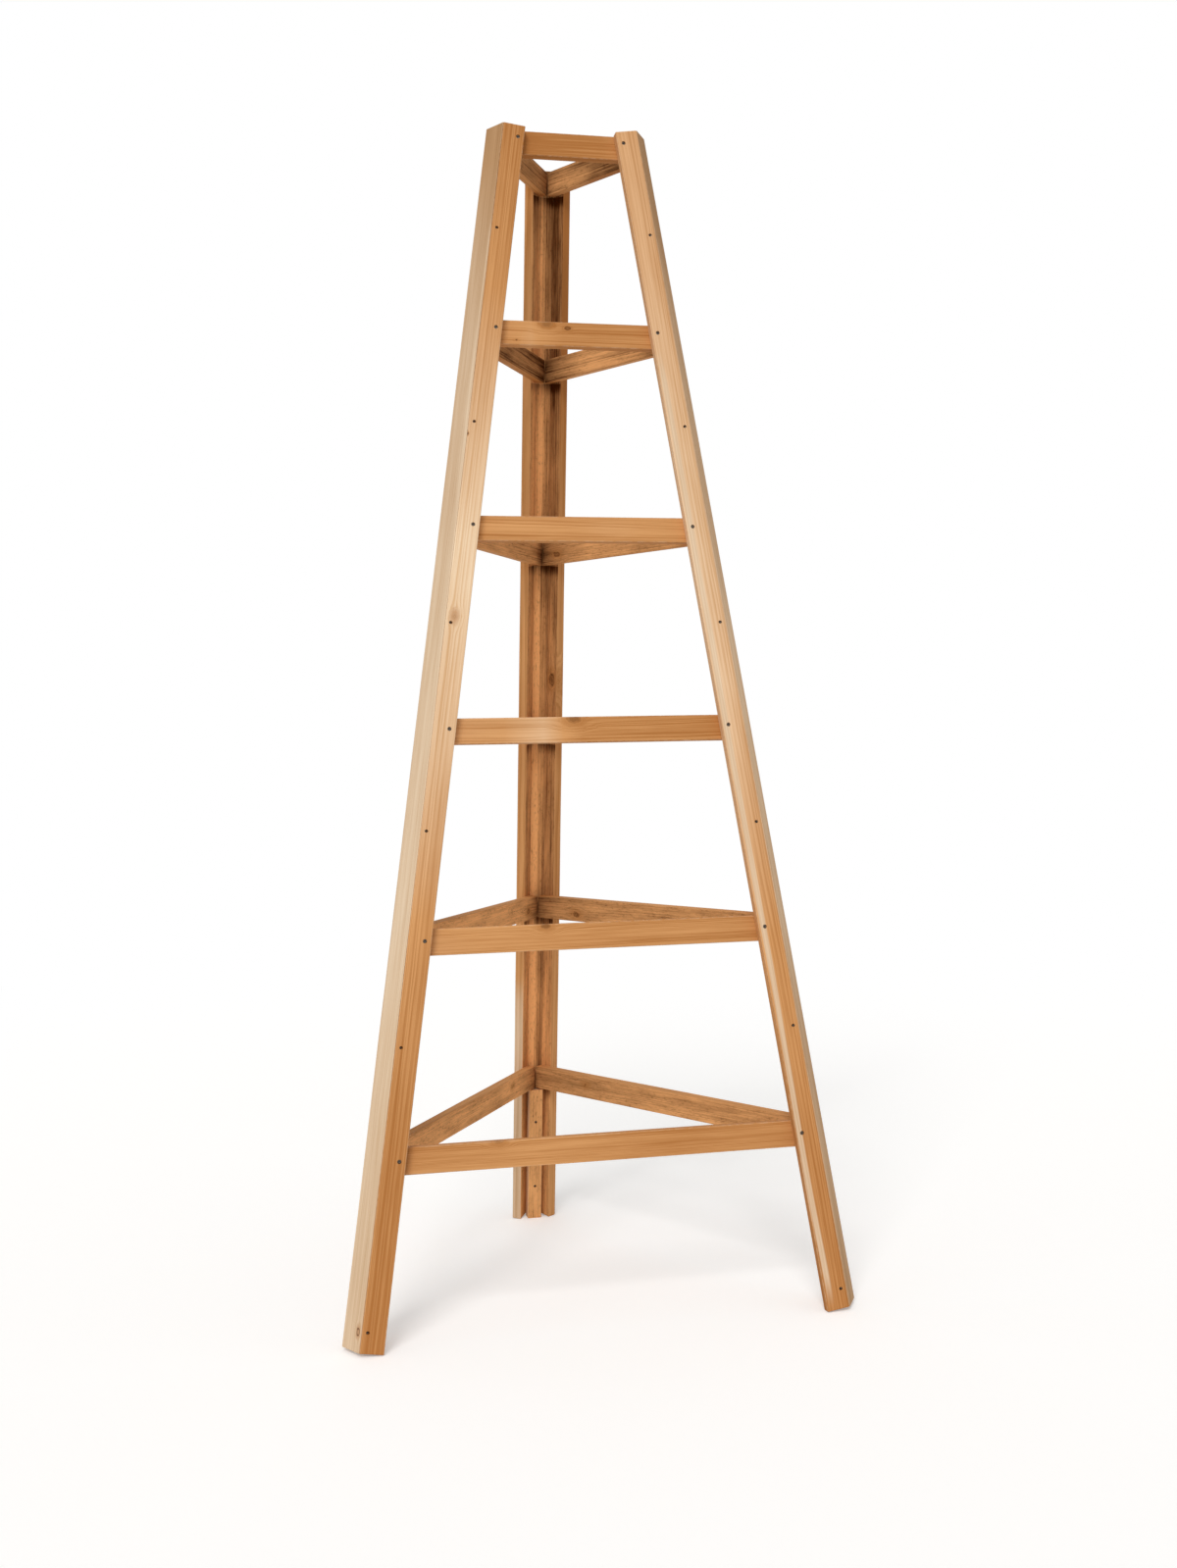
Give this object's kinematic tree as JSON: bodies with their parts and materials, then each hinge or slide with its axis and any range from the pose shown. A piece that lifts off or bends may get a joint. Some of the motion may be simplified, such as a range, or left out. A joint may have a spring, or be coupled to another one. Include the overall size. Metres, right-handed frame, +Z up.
{
  "type": "garden obelisk",
  "caption": "Triangular tapering garden obelisk for climbing plants: cedar board legs of channel section joined by flat rungs on every side, fastened with sunk screws.",
  "frame": {"origin": "centre of the footprint's bounding box, on the ground that the feet stand on", "axes": "+Z up; the face with the front rungs looks along -Y, the left leg stands at -X, the right leg at +X and the back leg at +Y"},
  "size_m": [0.763, 0.6622, 1.811],
  "materials": {
    "cedar": "planed, untreated",
    "pale_cedar": "planed sapwood, untreated",
    "dark_cedar": "rough sawn on the inner faces, untreated",
    "stainless_screw": "plain"
  },
  "bodies": {
    "root": {"left_leg_spine": "pale_cedar", "left_leg_front_flange": "cedar", "left_leg_left_flange": "cedar", "left_leg_batten": "cedar", "right_leg_spine": "cedar", "right_leg_right_flange": "cedar", "right_leg_front_flange": "cedar", "right_leg_batten": "cedar", "back_leg_spine": "dark_cedar", "back_leg_left_flange": "dark_cedar", "back_leg_right_flange": "dark_cedar", "back_leg_batten": "cedar", "front_rung_1": "cedar", "front_rung_2": "cedar", "front_rung_3": "cedar", "front_rung_4": "cedar", "front_rung_5": "cedar", "front_rung_6": "cedar", "right_rung_1": "cedar", "right_rung_2": "cedar", "right_rung_3": "cedar", "right_rung_4": "cedar", "right_rung_5": "cedar", "right_rung_6": "cedar", "left_rung_1": "cedar", "left_rung_2": "cedar", "left_rung_3": "cedar", "left_rung_4": "cedar", "left_rung_5": "cedar", "left_rung_6": "cedar", "left_batten_screw_1": "stainless_screw", "left_batten_screw_2": "stainless_screw", "right_batten_screw_1": "stainless_screw", "right_batten_screw_2": "stainless_screw", "back_batten_screw_1": "stainless_screw", "back_batten_screw_2": "stainless_screw", "left_leg_front_seam_screw_1": "stainless_screw", "front_rung_1_left_screw": "stainless_screw", "left_leg_front_seam_screw_2": "stainless_screw", "front_rung_2_left_screw": "stainless_screw", "left_leg_front_seam_screw_3": "stainless_screw", "front_rung_3_left_screw": "stainless_screw", "left_leg_front_seam_screw_4": "stainless_screw", "front_rung_4_left_screw": "stainless_screw", "left_leg_front_seam_screw_5": "stainless_screw", "front_rung_5_left_screw": "stainless_screw", "left_leg_front_seam_screw_6": "stainless_screw", "front_rung_6_left_screw": "stainless_screw", "right_leg_front_seam_screw_1": "stainless_screw", "front_rung_1_right_screw": "stainless_screw", "right_leg_front_seam_screw_2": "stainless_screw", "front_rung_2_right_screw": "stainless_screw", "right_leg_front_seam_screw_3": "stainless_screw", "front_rung_3_right_screw": "stainless_screw", "right_leg_front_seam_screw_4": "stainless_screw", "front_rung_4_right_screw": "stainless_screw", "right_leg_front_seam_screw_5": "stainless_screw", "front_rung_5_right_screw": "stainless_screw", "right_leg_front_seam_screw_6": "stainless_screw", "front_rung_6_right_screw": "stainless_screw"}
  },
  "joints": []
}
